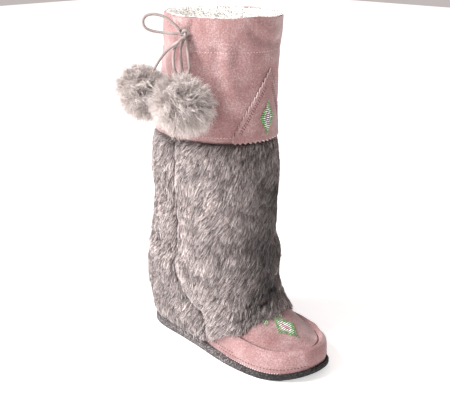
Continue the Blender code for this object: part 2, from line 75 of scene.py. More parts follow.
# Drawstring. A round lace of soft taupe suede, 3 mm thick, runs through the cuff's channel and is tied in
# a bow on the outer side: a knot, a loop that stands up, a loop that hangs, and two tails.
LACE_DIAMETER = 0.003
UPPER_LOOP = [
    (-3.2, 3.2, 4.2), (-9.4, 9.5, 12.6), (-14.2, 14.4, 17.2), (-19.3, 19.5, 19.5), (-24.3, 24.5, 19.7),
    (-28.4, 28.7, 17.2), (-30.0, 30.3, 11.7), (-28.4, 28.7, 6.2), (-24.3, 24.5, 3.2), (-17.9, 18.1, 1.4),
    (-11.0, 11.1, 0.4), (-4.4, 4.4, -0.2),
]
LOWER_LOOP = [
    (-2.3, 2.3, -5.4), (-7.6, 4.8, -13.0), (-12.4, 3.2, -21.0), (-15.5, 0.2, -28.0), (-16.4, -2.2, -34.4),
    (-14.7, -4.0, -39.9), (-11.0, -8.0, -42.2), (-7.3, -12.0, -39.9), (-5.6, -13.8, -34.4),
    (-4.6, -11.9, -28.0), (-2.6, -8.6, -21.0), (-0.6, -4.8, -13.0), (1.4, -1.4, -5.7),
]
REAR_TAIL = [(-4.2, -3.7, -3.2), (-9.5, -0.5, -8.0), (-15.5, 12.0, -19.0), (-22.9, 23.2, -37.9)]
FRONT_TAIL = [(2.3, 2.7, -5.1), (-1.0, 3.9, -16.0), (-4.6, -0.3, -30.0), (-7.1, -4.2, -40.0)]
UPPER_LOOP_LENGTH = 0.089
LOWER_LOOP_LENGTH = 0.091
REAR_TAIL_LENGTH = 0.071
FRONT_TAIL_LENGTH = 0.065
TAIL_IN_POMPOM = 0.010
KNOT_TURN = 0.00165
KNOT_STEPS = 36
KNOT_FACING = (-1.0, -0.35, 0.1)


def linear(code):
    """A hex colour as seen on screen, turned to linear light."""
    shares = [int(code[index:index + 2], 16) / 255 for index in (1, 3, 5)]
    light = [share / 12.92 if share <= 0.04045 else ((share + 0.055) / 1.055) ** 2.4 for share in shares]
    return light + [1.0]


def add_node(tree, kind, inputs, stops=(), **settings):
    """Add a node with its settings, its inputs, and the places and hex colours of its ramp."""
    node = tree.nodes.new("ShaderNode" + kind)
    for name, value in settings.items():
        setattr(node, name, value)
    for index, (position, code) in enumerate(stops):
        ends = node.color_ramp.elements
        end = ends[index] if index < 2 else ends.new(position)
        end.position = position
        end.color = linear(code)
    connect(tree, node, inputs)
    return node


def connect(tree, node, inputs):
    """Fill inputs, each from a value, a socket, or a node's first output."""
    for name, value in inputs.items():
        if isinstance(value, bpy.types.Node):
            value = value.outputs[0]
        if isinstance(value, bpy.types.NodeSocket):
            tree.links.new(value, node.inputs[name])
        else:
            node.inputs[name].default_value = value


def start_material(name, **sockets):
    """A principled material with constants set on its own sockets, and its object coordinates."""
    material = bpy.data.materials.new(name)
    material.use_nodes = True
    tree = material.node_tree
    shader = tree.nodes["Principled BSDF"]
    connect(tree, shader, {key.replace("_", " "): value for key, value in sockets.items()})
    place = add_node(tree, "TexCoord", {}).outputs["Object"]
    return material, tree, shader, place


def blots(millimetres):
    """The scale of a noise whose blots are about so many millimetres across."""
    return 1000.0 / millimetres


def join(piece, slot, *nodes):
    """Fix a finished piece to the boot, and hide the solids that it stands for. The slot is not used."""
    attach(piece, "root")
    if nodes:
        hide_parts(*nodes)


# Split suede, rolled to a cord: matt, slightly hairy, paler where it is rubbed.
lace_suede, tree, shader, place = start_material("rolled_suede_lace", Roughness=0.85, Sheen_Weight=0.3)
rubbed = add_node(tree, "TexNoise", {"Vector": place, "Scale": blots(16.0), "Detail": 3.0})
fibre = add_node(tree, "TexNoise", {"Vector": place, "Scale": blots(0.7), "Detail": 2.0})
colour = add_node(
    tree, "ValToRGB", {"Fac": rubbed}, ((0.30, "#7b6c6a"), (0.50, "#8d7f7c"), (0.70, "#a09390")),
)
bump = add_node(tree, "Bump", {"Height": fibre, "Strength": 0.5, "Distance": 0.0003})
connect(tree, shader, {"Base Color": colour, "Normal": bump})

knot_low, knot_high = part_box("drawstring_knot")
KNOT = (knot_low + knot_high) / 2


def from_knot(route):
    return [KNOT + Vector(point) / 1000 for point in route]


def lay_lace(name, points):
    """A round lace on a smooth curve through its points."""
    curve = bpy.data.curves.new(name, "CURVE")
    curve.dimensions = "3D"
    curve.bevel_depth = LACE_DIAMETER / 2
    curve.bevel_resolution = 4
    curve.resolution_u = 8
    curve.use_fill_caps = True
    spline = curve.splines.new("BEZIER")
    spline.bezier_points.add(len(points) - 1)
    for target, point in zip(spline.bezier_points, points):
        target.co = point
        target.handle_left_type = target.handle_right_type = "AUTO"
    curve.materials.append(lace_suede)
    return new_object(name, curve)


for name, route, length in (
    ("upper_loop", UPPER_LOOP, UPPER_LOOP_LENGTH), ("lower_loop", LOWER_LOOP, LOWER_LOOP_LENGTH),
):
    points = from_knot(route)
    loop = lay_lace("lace_" + name, points)
    join(loop, "lace", "drawstring_" + name)

# The knot itself: the lace's turns drawn tight into three crossings.
turns = []
for index in range(KNOT_STEPS):
    t = 2 * math.pi * index / KNOT_STEPS
    spot = (math.sin(t) + 2 * math.sin(2 * t), math.cos(t) - 2 * math.cos(2 * t), -1.1 * math.sin(3 * t))
    turns.append(Vector(spot) * KNOT_TURN)
facing = Vector(KNOT_FACING).to_track_quat("Z", "Y").to_matrix()
knot = lay_lace("lace_knot", [KNOT + facing @ turn for turn in turns])
knot.data.splines[0].use_cyclic_u = True
join(knot, "lace", "drawstring_knot")


# Pompoms. Balls of rabbit fur gathered round the lace's ends: long pale hairs that part and swirl in
# locks, darker at the root, so that gaps between the locks look deep.
POMPOM_HAIRS = 18000
POMPOM_LOCKS = 900
POMPOM_HAIR_WIDTH = 0.00048
POMPOM_GROWTH = 1.22
POMPOM_ROOT = 0.22
POMPOM_WHIRL_AXIS = (0.55, -0.35, 0.75)
POMPOM_WHIRL = 0.40
POMPOM_SWIRL = 0.13
POMPOM_FRIZZ = 0.065
POMPOM_SAG = 0.05
HAIR_TAPER = [1.0, 0.85, 0.55]


def grow_hairs(name, lines, across, width, colours, material, facing=None):
    """One mesh of many flat tapered hairs. lines holds each hair's points from root to tip, and facing
    the way that each hair is shaded, where that follows the tuft and not the hair."""
    count, steps, _ = lines.shape
    taper = np.array(HAIR_TAPER[:steps - 1])[None, :, None]
    half = across[:, None, :] * width[:, None, None] / 2 * taper
    body = np.stack([lines[:, :-1] - half, lines[:, :-1] + half], axis=2).reshape(count, -1, 3)
    points = np.concatenate([body, lines[:, -1:]], axis=1)
    per_hair = 2 * (steps - 1) + 1
    corners = []
    sizes = []
    for step in range(steps - 2):
        corners += [2 * step, 2 * step + 1, 2 * step + 3, 2 * step + 2]
        sizes.append(4)
    corners += [2 * steps - 4, 2 * steps - 3, 2 * steps - 2]
    sizes.append(3)
    loops = (np.arange(count)[:, None] * per_hair + np.array(corners)[None]).ravel()
    starts = np.concatenate([[0], np.cumsum(sizes)[:-1]])
    starts = (np.arange(count)[:, None] * sum(sizes) + starts[None]).ravel()
    mesh = bpy.data.meshes.new(name)
    mesh.vertices.add(count * per_hair)
    mesh.vertices.foreach_set("co", points.astype(np.float32).ravel())
    mesh.loops.add(len(loops))
    mesh.loops.foreach_set("vertex_index", loops.astype(np.int32))
    mesh.polygons.add(len(starts))
    mesh.polygons.foreach_set("loop_start", starts.astype(np.int32))
    mesh.update(calc_edges=True)
    tint = np.concatenate([np.repeat(colours[:, :-1], 2, axis=1), colours[:, -1:]], axis=1)
    tint = np.concatenate([tint, np.ones((count, per_hair, 1))], axis=2)
    layer = mesh.attributes.new("hair_colour", "FLOAT_COLOR", "POINT")
    layer.data.foreach_set("color", tint.astype(np.float32).ravel())
    mesh.materials.append(material)
    mesh.shade_smooth()
    if facing is not None:
        mesh.normals_split_custom_set_from_vertices(np.repeat(facing, per_hair, axis=0).tolist())
    return new_object(name, mesh)


def unit(vectors):
    return vectors / np.maximum(np.linalg.norm(vectors, axis=-1, keepdims=True), 1e-9)


def nearest_of(centres, points):
    """For each point, which of the centres is nearest."""
    tree = kdtree.KDTree(len(centres))
    for index, centre in enumerate(centres):
        tree.insert(centre, index)
    tree.balance()
    return np.array([tree.find(point)[1] for point in points])


def hair_stops(*codes):
    """A hair's colours from root to tip."""
    return np.array([linear(code)[:3] for code in codes])


# Rabbit hair: fine, soft and slightly glossy, its colour painted hair by hair from root to tip.
rabbit_hair, tree, shader, place = start_material("rabbit_hair", Roughness=0.62, Sheen_Weight=0.15)
tint = add_node(tree, "Attribute", {}, attribute_name="hair_colour")
connect(tree, shader, {"Base Color": tint})


def make_pompom(side, seed):
    """A ball of hair round the middle of its solid."""
    low, high = (np.array(corner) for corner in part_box("pompom_" + side))
    centre = (low + high) / 2
    radius = (high - low).mean() / 2 * POMPOM_GROWTH
    chance = np.random.default_rng(seed)
    heading = unit(chance.normal(size=(POMPOM_HAIRS, 3)))
    locks = unit(chance.normal(size=(POMPOM_LOCKS, 3)))
    member = nearest_of(locks, heading)
    lock_heading = unit(locks + chance.normal(size=locks.shape) * 0.30 + np.array([0.0, 0.0, -0.06]))
    lock_reach = chance.uniform(0.92, 1.02, POMPOM_LOCKS)
    swirl = np.cross(locks, chance.normal(size=locks.shape)) * POMPOM_SWIRL
    tone = chance.uniform(0.86, 1.08, POMPOM_LOCKS)[member] * chance.uniform(0.66, 1.14, POMPOM_HAIRS)
    reach = lock_reach[member] * (1.05 - 0.50 * chance.uniform(0.0, 1.0, POMPOM_HAIRS) ** 1.6)
    tip = unit(heading * 0.62 + lock_heading[member] * 0.38) * reach[:, None]
    whirl = np.cross(heading, POMPOM_WHIRL_AXIS) * POMPOM_WHIRL
    bend = swirl[member] + whirl + chance.normal(size=heading.shape) * POMPOM_FRIZZ
    lines = np.stack([
        heading * POMPOM_ROOT,
        heading * 0.34 + tip * 0.22 + bend * 0.6,
        heading * 0.22 + tip * 0.58 + bend,
        tip + bend * 0.35 + whirl * 0.6,
    ], axis=1)
    lines[:, 3, 2] -= POMPOM_SAG
    across = unit(np.cross(tip - heading * POMPOM_ROOT, chance.normal(size=heading.shape)))
    stops = hair_stops("#94847f", "#b8aaa6", "#d0c4c0", "#e6dcd8")
    colours = stops[None] * tone[:, None, None]
    width = POMPOM_HAIR_WIDTH * chance.uniform(0.6, 1.3, POMPOM_HAIRS)
    lines = centre + lines * radius
    piece = grow_hairs("pompom_" + side + "_hair", lines, across, width, colours, rabbit_hair)
    join(piece, "pompom", "pompom_" + side)
    return piece, Vector(centre)


for side, tail, seed, length in (
    ("rear", REAR_TAIL, 11, REAR_TAIL_LENGTH), ("front", FRONT_TAIL, 12, FRONT_TAIL_LENGTH),
):
    pompom, centre = make_pompom(side, seed)
    points = from_knot(tail)
    points.append(centre + (points[-1] - centre).normalized() * TAIL_IN_POMPOM)
    lace = lay_lace("lace_" + side + "_tail", points)
    join(lace, "lace", "drawstring_" + side + "_tail")


# Outsole. One moulded unit of natural crepe rubber mixed with dark crumb, with a bevelled tread and a
# small lip that the upper is sewn to.
def copy_node(node, name, *materials):
    """A new piece on a copy of a solid's mesh, its loose triangles merged and paired into quads."""
    piece = new_object(name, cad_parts[node].data.copy())
    bpy.ops.object.select_all(action="DESELECT")
    piece.select_set(True)
    bpy.context.view_layer.objects.active = piece
    bpy.ops.mesh.customdata_custom_splitnormals_clear()
    bpy.ops.object.mode_set(mode="EDIT")
    bpy.ops.mesh.select_all(action="SELECT")
    bpy.ops.mesh.remove_doubles(threshold=1e-5)
    bpy.ops.mesh.tris_convert_to_quads(face_threshold=math.radians(60), shape_threshold=math.radians(180))
    bpy.ops.mesh.select_all(action="SELECT")
    bpy.ops.mesh.mark_sharp(clear=True)
    bpy.ops.object.mode_set(mode="OBJECT")
    piece.data.materials.clear()
    for material in materials:
        piece.data.materials.append(material)
    return piece


def apply_modifier(piece, kind, **settings):
    modifier = piece.modifiers.new(kind.lower(), kind)
    for name, value in settings.items():
        setattr(modifier, name, value)
    bpy.context.view_layer.objects.active = piece
    bpy.ops.object.modifier_apply(modifier=modifier.name)


def soften(piece, edge, levels):
    """Round the sharp edges by a small width, then smooth the rest."""
    apply_modifier(
        piece, "BEVEL", width=edge, segments=2, limit_method="ANGLE", angle_limit=math.radians(40),
        use_clamp_overlap=True,
    )
    apply_modifier(piece, "SUBSURF", levels=levels, render_levels=levels)
    piece.data.shade_smooth()


# Crepe rubber with crumb: matt, speckled light and dark grey in grains of one to two millimetres, and
# painted darker towards the toe for the shade on its front, which faces away from the lamp.
crepe, tree, shader, place = start_material("crumb_crepe_rubber", Roughness=0.95, IOR=1.5)
crumb = add_node(tree, "TexNoise", {"Vector": place, "Scale": blots(1.5), "Detail": 4.0})
speckle = add_node(
    tree, "ValToRGB", {"Fac": crumb},
    ((0.36, "#151213"), (0.47, "#363031"), (0.56, "#635c5d"), (0.68, "#948d8c")),
)
along_sole = add_node(tree, "SeparateXYZ", {"Vector": place}).outputs["Y"]
# Painted shade: the rubber's colour is scaled darker towards the toe
painted_toe_shade = add_node(tree, "MapRange", {
    "Value": along_sole, "From Min": -0.192, "From Max": -0.120, "To Min": 0.16, "To Max": 1.05,
})
speckle = add_node(tree, "VectorMath", {0: speckle, "Scale": painted_toe_shade}, operation="SCALE")
bump = add_node(tree, "Bump", {"Height": crumb, "Strength": 0.9, "Distance": 0.0008})
connect(tree, shader, {"Base Color": speckle, "Normal": bump})

outsole = copy_node("outsole", "crepe_outsole", crepe)
soften(outsole, edge=0.0004, levels=2)
join(outsole, "sole", "outsole")


# Insole. A pad cut from a sheet of cream wool felt, a little smaller all round than the foot's inside,
# and laid flat on the sole inside the upper.

# Wool felt: cream, matt and fuzzy, with a slight mottle.
felt, tree, shader, place = start_material("wool_felt", Roughness=1.0, Sheen_Weight=0.4)
mottle = add_node(tree, "TexNoise", {"Vector": place, "Scale": blots(3.0), "Detail": 3.0})
colour = add_node(tree, "ValToRGB", {"Fac": mottle}, ((0.3, "#d8cdbd"), (0.7, "#f1e9dc")))
bump = add_node(tree, "Bump", {"Height": mottle, "Strength": 0.6, "Distance": 0.0006})
connect(tree, shader, {"Base Color": colour, "Normal": bump})

insole = copy_node("insole", "felt_insole", felt)
soften(insole, edge=0.0008, levels=1)
join(insole, "insole", "insole")


# Upper. Vamp, quarters and shaft of dusty pink suede over a cream fleece lining, sewn into one tube and
# lasted onto the sole. The vamp's edge rolls over in a ridge round the top piece.
SHAFT_START = 0.085
FOOT_LINE_SIDE = 0.003
FOOT_LINE_TOE = -0.185
FOOT_LINE_HEIGHT = 0.018
VAMP_BACK = -0.118


def middle_line(points):
    """The boot's middle, level with each point: up the shaft, or along the foot."""
    cuff_low, cuff_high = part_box("cuff")
    shaft = np.stack([
        np.zeros(len(points)), np.full(len(points), (cuff_low.y + cuff_high.y) / 2), points[:, 2],
    ], axis=1)
    foot = np.stack([
        np.full(len(points), FOOT_LINE_SIDE), np.clip(points[:, 1], FOOT_LINE_TOE, 0.0),
        np.full(len(points), FOOT_LINE_HEIGHT),
    ], axis=1)
    return np.where((points[:, 2] > SHAFT_START)[:, None], shaft, foot)


def read_points(mesh):
    points = np.empty(len(mesh.vertices) * 3, np.float32)
    mesh.vertices.foreach_get("co", points)
    return points.reshape(-1, 3).astype(float)


def write_points(mesh, points):
    mesh.vertices.foreach_set("co", points.astype(np.float32).ravel())
    mesh.update()


def read_faces(mesh):
    """Middles, normals and areas of the faces."""
    count = len(mesh.polygons)
    middles, normals, areas = np.empty(count * 3), np.empty(count * 3), np.empty(count)
    mesh.polygons.foreach_get("center", middles)
    mesh.polygons.foreach_get("normal", normals)
    mesh.polygons.foreach_get("area", areas)
    return middles.reshape(-1, 3), normals.reshape(-1, 3), areas


def surface_of(*pieces):
    """The pieces' faces, to cast rays at."""
    points = []
    faces = []
    for piece in pieces:
        start = len(points)
        points += [vert.co.copy() for vert in piece.data.vertices]
        faces += [[start + index for index in face.vertices] for face in piece.data.polygons]
    return BVHTree.FromPolygons(points, faces)


def press_folds(piece, folds):
    """Push soft ridges and troughs into a piece. A fold is a path in millimetres, a width and a height."""
    points = read_points(piece.data)
    away = unit(points - middle_line(points))
    push = np.zeros(len(points))
    for path, width, height in folds:
        nearest = np.full(len(points), np.inf)
        stations = [np.array(spot) / 1000 for spot in path]
        for start, end in zip(stations, stations[1:]):
            along = end - start
            share = np.clip((points - start) @ along / (along @ along), 0.0, 1.0)
            gap = np.linalg.norm(points - start - share[:, None] * along, axis=1)
            nearest = np.minimum(nearest, gap)
        push += height / 1000 * np.exp(-((nearest * 1000 / width) ** 2))
    write_points(piece.data, points + away * push[:, None])


# Napped suede: the split side of cowhide, brushed. No gloss, a pale bloom at grazing angles, cloudy where
# the nap lies one way or the other, with a fine grain of about a millimetre.
def dye_suede(name, dark, plain, light):
    material, tree, shader, place = start_material(
        name, Roughness=0.95, Sheen_Weight=0.28, Sheen_Roughness=0.5, Specular_IOR_Level=0.2,
    )
    nap = add_node(tree, "TexNoise", {"Vector": place, "Scale": blots(26.0), "Detail": 4.0})
    stroke = add_node(tree, "TexNoise", {"Vector": place, "Scale": blots(1.6), "Detail": 3.0})
    mixed = add_node(tree, "Mix", {"Factor": 0.52, "A": nap, "B": stroke}, data_type="FLOAT")
    colour = add_node(tree, "ValToRGB", {"Fac": mixed}, ((0.27, dark), (0.50, plain), (0.73, light)))
    bump = add_node(tree, "Bump", {"Height": stroke, "Strength": 0.45, "Distance": 0.0005})
    connect(tree, shader, {"Base Color": colour, "Normal": bump})
    return material


pink_suede = dye_suede("napped_pink_suede", "#724a49", "#906f6e", "#b39f9e")
cut_suede = dye_suede("raw_cut_suede_edge", "#ae9291", "#cdb5b4", "#e6d5d4")

# Lamb fleece lining: cream, matt and curly, with a little glow for the light that scatters on in it.
fleece, tree, shader, place = start_material(
    "fleece_lining", Roughness=1.0, Sheen_Weight=0.5, Emission_Strength=0.22,
)
curl = add_node(tree, "TexNoise", {"Vector": place, "Scale": blots(3.5), "Detail": 4.0})
colour = add_node(tree, "ValToRGB", {"Fac": curl}, ((0.3, "#f1ebe3"), (0.7, "#ffffff")))
bump = add_node(tree, "Bump", {"Height": curl, "Strength": 0.5, "Distance": 0.0012})
connect(tree, shader, {"Base Color": colour, "Emission Color": colour, "Normal": bump})

# Wool pile: the same fleece, cream and matt, curl by curl, with a painted glow that stands in for light
# scattered through the wool and lightens the shade between the curls.
wool_pile, tree, shader, place = start_material("wool_pile", Roughness=1.0, Emission_Strength=0.34)
tint = add_node(tree, "Attribute", {}, attribute_name="hair_colour")
connect(tree, shader, {"Base Color": tint, "Emission Color": tint})

# Soft folds of the shaft above the hem, shared by the cuff and the wall behind it: a path, a width and a
# height, in millimetres
SHAFT_FOLDS = [
    ([(-58, -46, 396), (-58, -56, 386), (-60, -66, 378)], 3.8, -4.8),
    ([(-60, -62, 397), (-61, -70, 388), (-62, -76, 382)], 3.4, 3.3),
    ([(-55, -88, 396), (-58, -84, 386), (-60, -80, 380)], 3.8, -3.6),
    ([(-62, -70, 370), (-62, -64, 356), (-61, -60, 338)], 4.2, -2.7),
    ([(-58, -86, 368), (-57, -90, 352), (-55, -98, 330)], 5.1, -2.4),
    ([(-22, -140, 384), (-11, -143, 376), (20, -140, 369)], 5.5, -3.3),
    ([(-32, -132, 362), (-36, -128, 350)], 6.8, -2.4),
    ([(-48, -114, 362), (-47, -115, 348)], 6.8, -2.2),
    ([(-42, -122, 366), (-40, -123, 340), (-34, -127, 305)], 8.5, 2.7),
    ([(-46, -114, 325), (-39, -121, 308), (-33, -126, 296)], 7.6, -2.7),
    ([(-60, -80, 300), (-56, -96, 284)], 9.3, 1.8),
    ([(10, -141, 352), (24, -135, 330), (34, -127, 305)], 7.6, 2.1),
    ([(40, -121, 372), (50, -106, 350)], 7.6, -2.4),
    ([(57, -84, 385), (60, -66, 362), (59, -48, 340)], 7.6, 2.7),
    ([(60, -50, 390), (54, -22, 372)], 6.8, -2.7),
    ([(30, 5, 380), (8, 10, 352), (-14, 10, 330)], 8.5, 2.4),
    ([(-36, -8, 382), (-46, -22, 356), (-54, -34, 325)], 7.6, -2.7),
    ([(-20, 8, 310), (18, 10, 292)], 7.6, -2.1),
    ([(50, -20, 320), (58, -44, 300)], 7.6, -2.1),
]

# Creases of the vamp: where it bends behind the toes, and where it is pulled over the last
VAMP_FOLDS = [
    ([(-46, -130, 30), (-47, -140, 38)], 4.0, -0.8),
    ([(-44, -186, 34), (-40, -192, 24)], 5.0, -0.6),
    ([(-24, -213, 32), (-22, -217, 22)], 5.0, -0.6),
    ([(4, -220, 34), (5, -222, 22)], 5.0, -0.5),
    ([(30, -212, 34), (32, -216, 22)], 5.0, -0.6),
    ([(48, -170, 32), (50, -160, 22)], 5.0, -0.7),
    ([(-48, -160, 34), (-49, -166, 22)], 5.0, 0.6),
    ([(-34, -203, 36), (-33, -208, 24)], 5.0, 0.6),
    ([(-10, -217, 36), (-9, -222, 24)], 5.0, 0.6),
    ([(18, -217, 36), (19, -221, 24)], 5.0, 0.5),
    ([(43, -182, 41), (46, -160, 44), (45, -140, 47), (43, -126, 50)], 9.0, 4.5),
]

upper = copy_node("upper", "suede_upper", pink_suede, fleece)
soften(upper, edge=0.0005, levels=2)
middles, normals, _ = read_faces(upper.data)
faces_in = ((middles - middle_line(middles)) * normals).sum(axis=1) < 0
# On the vamp's rolled ridge, only a face with suede above it is lining
vamp_top = (middles[:, 2] < SHAFT_START) & (middles[:, 1] < VAMP_BACK)
roof = surface_of(upper)
for index in np.flatnonzero(faces_in & vamp_top):
    spot = Vector(middles[index] + normals[index] * 0.0004)
    faces_in[index] = roof.ray_cast(spot, Vector((0.0, 0.0, 1.0)))[0] is not None
upper.data.polygons.foreach_set("material_index", faces_in.astype(np.int32))
press_folds(upper, SHAFT_FOLDS + VAMP_FOLDS)
join(upper, "suede", "upper")


# Vamp stitching. Cotton thread holds the vamp's turned edge to the sole: a row of short stitches above
# the lip all round the toe, a second row at the waist, and a pale whipped edge just over the sole.
def sow(name, model, places, material, colours=None):
    """One mesh of many copies of a small model, each at its own matrix, then the model is removed."""
    mesh = model.data
    points = read_points(mesh)
    points = np.concatenate([points, np.ones((len(points), 1))], axis=1)
    faces = [list(face.vertices) for face in mesh.polygons]
    all_points = np.concatenate([(points @ np.array(matrix).T)[:, :3] for matrix in places])
    all_faces = [
        [index + len(points) * copy for index in face] for copy in range(len(places)) for face in faces
    ]
    made = bpy.data.meshes.new(name)
    made.from_pydata(all_points.tolist(), [], all_faces)
    made.shade_smooth()
    made.materials.append(material)
    if colours is not None:
        layer = made.attributes.new("bead_colour", "FLOAT_COLOR", "POINT")
        layer.data.foreach_set("color", np.repeat(np.array(colours, np.float32), len(points), axis=0).ravel())
    piece = new_object(name, made)
    bpy.data.objects.remove(model, do_unlink=True)
    return piece


def stretch(model, factors):
    """Stretch a small model's mesh along the axes."""
    bpy.ops.object.mode_set(mode="EDIT")
    bpy.ops.mesh.select_all(action="SELECT")
    bpy.ops.transform.resize(value=factors)
    bpy.ops.object.mode_set(mode="OBJECT")
    return model


def new_stitch(length, thickness):
    """One short stitch along X: a rounded, slightly flattened float of thread."""
    bpy.ops.object.select_all(action="DESELECT")
    bpy.ops.mesh.primitive_uv_sphere_add(segments=8, ring_count=6, radius=0.5)
    return stretch(bpy.context.object, (length, thickness, thickness * 0.8))


def stand_on(point, heading, normal, lean=0.0):
    """A matrix at a point of a surface, X along the heading and Z along the normal."""
    normal = normal.normalized()
    heading = (heading - normal * heading.dot(normal)).normalized()
    matrix = Matrix((heading, normal.cross(heading), normal)).transposed().to_4x4()
    matrix.translation = point
    return matrix @ Matrix.Rotation(lean, 4, "Z")


def step_along(points, pitch):
    """Points a pitch apart along a line of points."""
    lengths = np.concatenate([[0.0], np.cumsum([(b - a).length for a, b in zip(points, points[1:])])])
    places = np.arange(0.0, lengths[-1], pitch)
    spots = np.array(points)
    return [Vector([np.interp(place, lengths, spots[:, axis]) for axis in range(3)]) for place in places]


def stitch_row(path, surface, pitch, sink, lean=0.0):
    """Places for stitches in a row on a surface."""
    spots = step_along(path, pitch)
    places = []
    for before, spot, after in zip(spots, spots[1:], spots[2:]):
        point, normal, _, _ = surface.find_nearest(spot)
        places.append(stand_on(point - normal * sink, after - before, normal, lean))
    return places


def cotton(name, dark, light):
    """Waxed cotton thread: matt, twisted, a shade off the suede."""
    material, tree, shader, place = start_material(name, Roughness=0.75)
    twist = add_node(tree, "TexNoise", {"Vector": place, "Scale": blots(1.2), "Detail": 3.0})
    colour = add_node(tree, "ValToRGB", {"Fac": twist}, ((0.35, dark), (0.65, light)))
    connect(tree, shader, {"Base Color": colour})
    return material


# The dark thread is coloured darker than the cotton is: painted shade of the holes that its stitches sink
# into
dark_thread_with_painted_shade = cotton("waxed_cotton_dark_painted_shade", "#4f2e30", "#6f4648")
pale_thread = cotton("waxed_cotton_pale", "#bd9d9b", "#d9c0be")

# The foot's middle at the ball, a distance that is outside the boot, and the lip's height and width
BALL_MIDDLE = Vector((0.003, -0.150, 0.0))
OUTSIDE = 0.2
SOLE_LIP = 0.008
LIP_WIDTH = 0.004

vamp_surface = surface_of(upper)
sole_surface = surface_of(outsole)


def round_the_vamp(first, last, rise):
    """A line on the vamp's wall, a rise above the sole, from one angle to another round the ball."""
    line = []
    for degrees in np.arange(first, last, 3.0):
        angle = math.radians(degrees)
        way = Vector((-math.sin(angle), -math.cos(angle), 0.0))
        top = SOLE_LIP
        point = None
        for _ in range(2):
            start = BALL_MIDDLE + way * OUTSIDE + Vector((0.0, 0.0, top + rise))
            point, _, _, _ = vamp_surface.ray_cast(start, -way)
            if point is None:
                break
            inner = point - way * LIP_WIDTH
            above = Vector((inner.x, inner.y, OUTSIDE))
            edge, _, _, _ = sole_surface.ray_cast(above, Vector((0.0, 0.0, -1.0)))
            top = edge.z if edge else top
        if point is not None:
            line.append(point)
    return line


# Dark stitches, their colour partly painted shade in their sunken holes
rows = stitch_row(round_the_vamp(-112, 134, rise=0.0068), vamp_surface, pitch=0.0040, sink=0.0)
rows += stitch_row(round_the_vamp(100, 142, rise=0.0112), vamp_surface, pitch=0.0040, sink=0.0)
stitches = sow("vamp_stitches", new_stitch(length=0.0024, thickness=0.0014), rows, dark_thread_with_painted_shade)
join(stitches, "suede")

edge_line = round_the_vamp(-112, 134, rise=0.0016)
rows = stitch_row(edge_line, vamp_surface, pitch=0.0030, sink=-0.0001, lean=math.radians(52))
whipping = sow("vamp_whipped_edge", new_stitch(length=0.0027, thickness=0.0012), rows, cut_suede)
join(whipping, "suede")


# Apron. The moccasin's top piece: one tongue of the same suede, sewn inside the vamp's ridge so that
# the seam sinks between the two, and tucked under the fur at the instep.
APRON_FOLDS = [
    ([(0, -175, 50), (0, -196, 44)], 16.0, 0.8),
    ([(-16, -203, 42), (-4, -206, 42), (12, -206, 43), (26, -199, 42)], 7.0, -1.6),
    ([(-24, -168, 48), (-28, -184, 44)], 6.0, -0.4),
]
apron = copy_node("apron", "suede_apron", pink_suede)
soften(apron, edge=0.0004, levels=2)
press_folds(apron, APRON_FOLDS)
join(apron, "suede", "apron")

# The seam between the ridge and the apron, sewn tight, in dark thread that shows as a dark line: partly the
# seam's own thread, partly painted shade of the groove between the two
APRON_SEAM = [
    (-44, -120, 47), (-43, -147, 40), (-41, -163, 37), (-37, -178, 34), (-31, -190, 33), (-23, -200, 33),
    (-15, -207, 34), (-6, -212, 34), (4, -213, 35), (14, -212, 34), (24, -207, 34), (32, -200, 33),
    (38, -190, 33), (43, -178, 34), (45, -163, 37), (44, -147, 40), (41, -120, 47),
]
apron_and_vamp = surface_of(upper, apron)
seam_line = [Vector(spot) / 1000 for spot in APRON_SEAM]
rows = stitch_row(seam_line, apron_and_vamp, pitch=0.0022, sink=0.0001)
groove_shade_thread = sow("apron_seam_thread_and_groove_shade", new_stitch(length=0.0029, thickness=0.0013), rows, dark_thread_with_painted_shade)
join(groove_shade_thread, "suede")


# Toe beadwork. Glass seed beads of about 1.8 mm, couched down in rows on the apron in a plain diamond:
# leaf green outside, pale green within, white and pink in the middle. Two small leaves flank it.
BEAD_PITCH = 0.0023
BEAD_ROW = 0.0023
BEAD_RING = 0.00050
BEAD_WALL = 0.00038
BEAD_STRETCH = 1.55
BEAD_RISE = 0.0008
BEAD_LEAN = 0.16
BEAD_TONES = (0.62, 1.35)


def diamond(rows):
    """A diamond's chart from its upper rows, of which the last is the widest."""
    rows = rows.split()
    return rows + rows[-2::-1]


BEAD_COLOURS = {"g": "#70ab70", "l": "#c0dfbb", "w": "#f0eeea", "p": "#dda6b4", "v": "#a99bbb"}
TOE_CHART = diamond("g gg ggg gglgg gllllg gglwwlgg gglwpwlgg gglwwpwwlgg gglwwppwwlgg")
LEAF_CHART = ["g", "gl", "glg", "lg", "g"]
# Each chart, its middle in millimetres and its turn in degrees
TOE_CHARTS = [
    (TOE_CHART, (0.5, -175.5, 0), 3), (LEAF_CHART, (-14.5, -158.5, 0), -40),
    (LEAF_CHART, (8.5, -158.8, 0), 40),
]
APRON_TOP = 0.055


def new_bead():
    """One seed bead, its hole along X."""
    bpy.ops.object.select_all(action="DESELECT")
    bpy.ops.mesh.primitive_torus_add(
        major_segments=10, minor_segments=6, major_radius=BEAD_RING, minor_radius=BEAD_WALL,
        rotation=(0.0, math.radians(90), 0.0),
    )
    bpy.ops.object.transform_apply(location=True, rotation=True, scale=True)
    return stretch(bpy.context.object, (BEAD_STRETCH, 1.0, 1.0))


# Glass seed beads: opaque coloured glass, glossy and rounded, each with its own highlight.
glass, tree, shader, place = start_material("glass_seed_beads", Roughness=0.12, IOR=1.5, Coat_Weight=0.5)
tint = add_node(tree, "Attribute", {}, attribute_name="bead_colour")
connect(tree, shader, {"Base Color": tint})


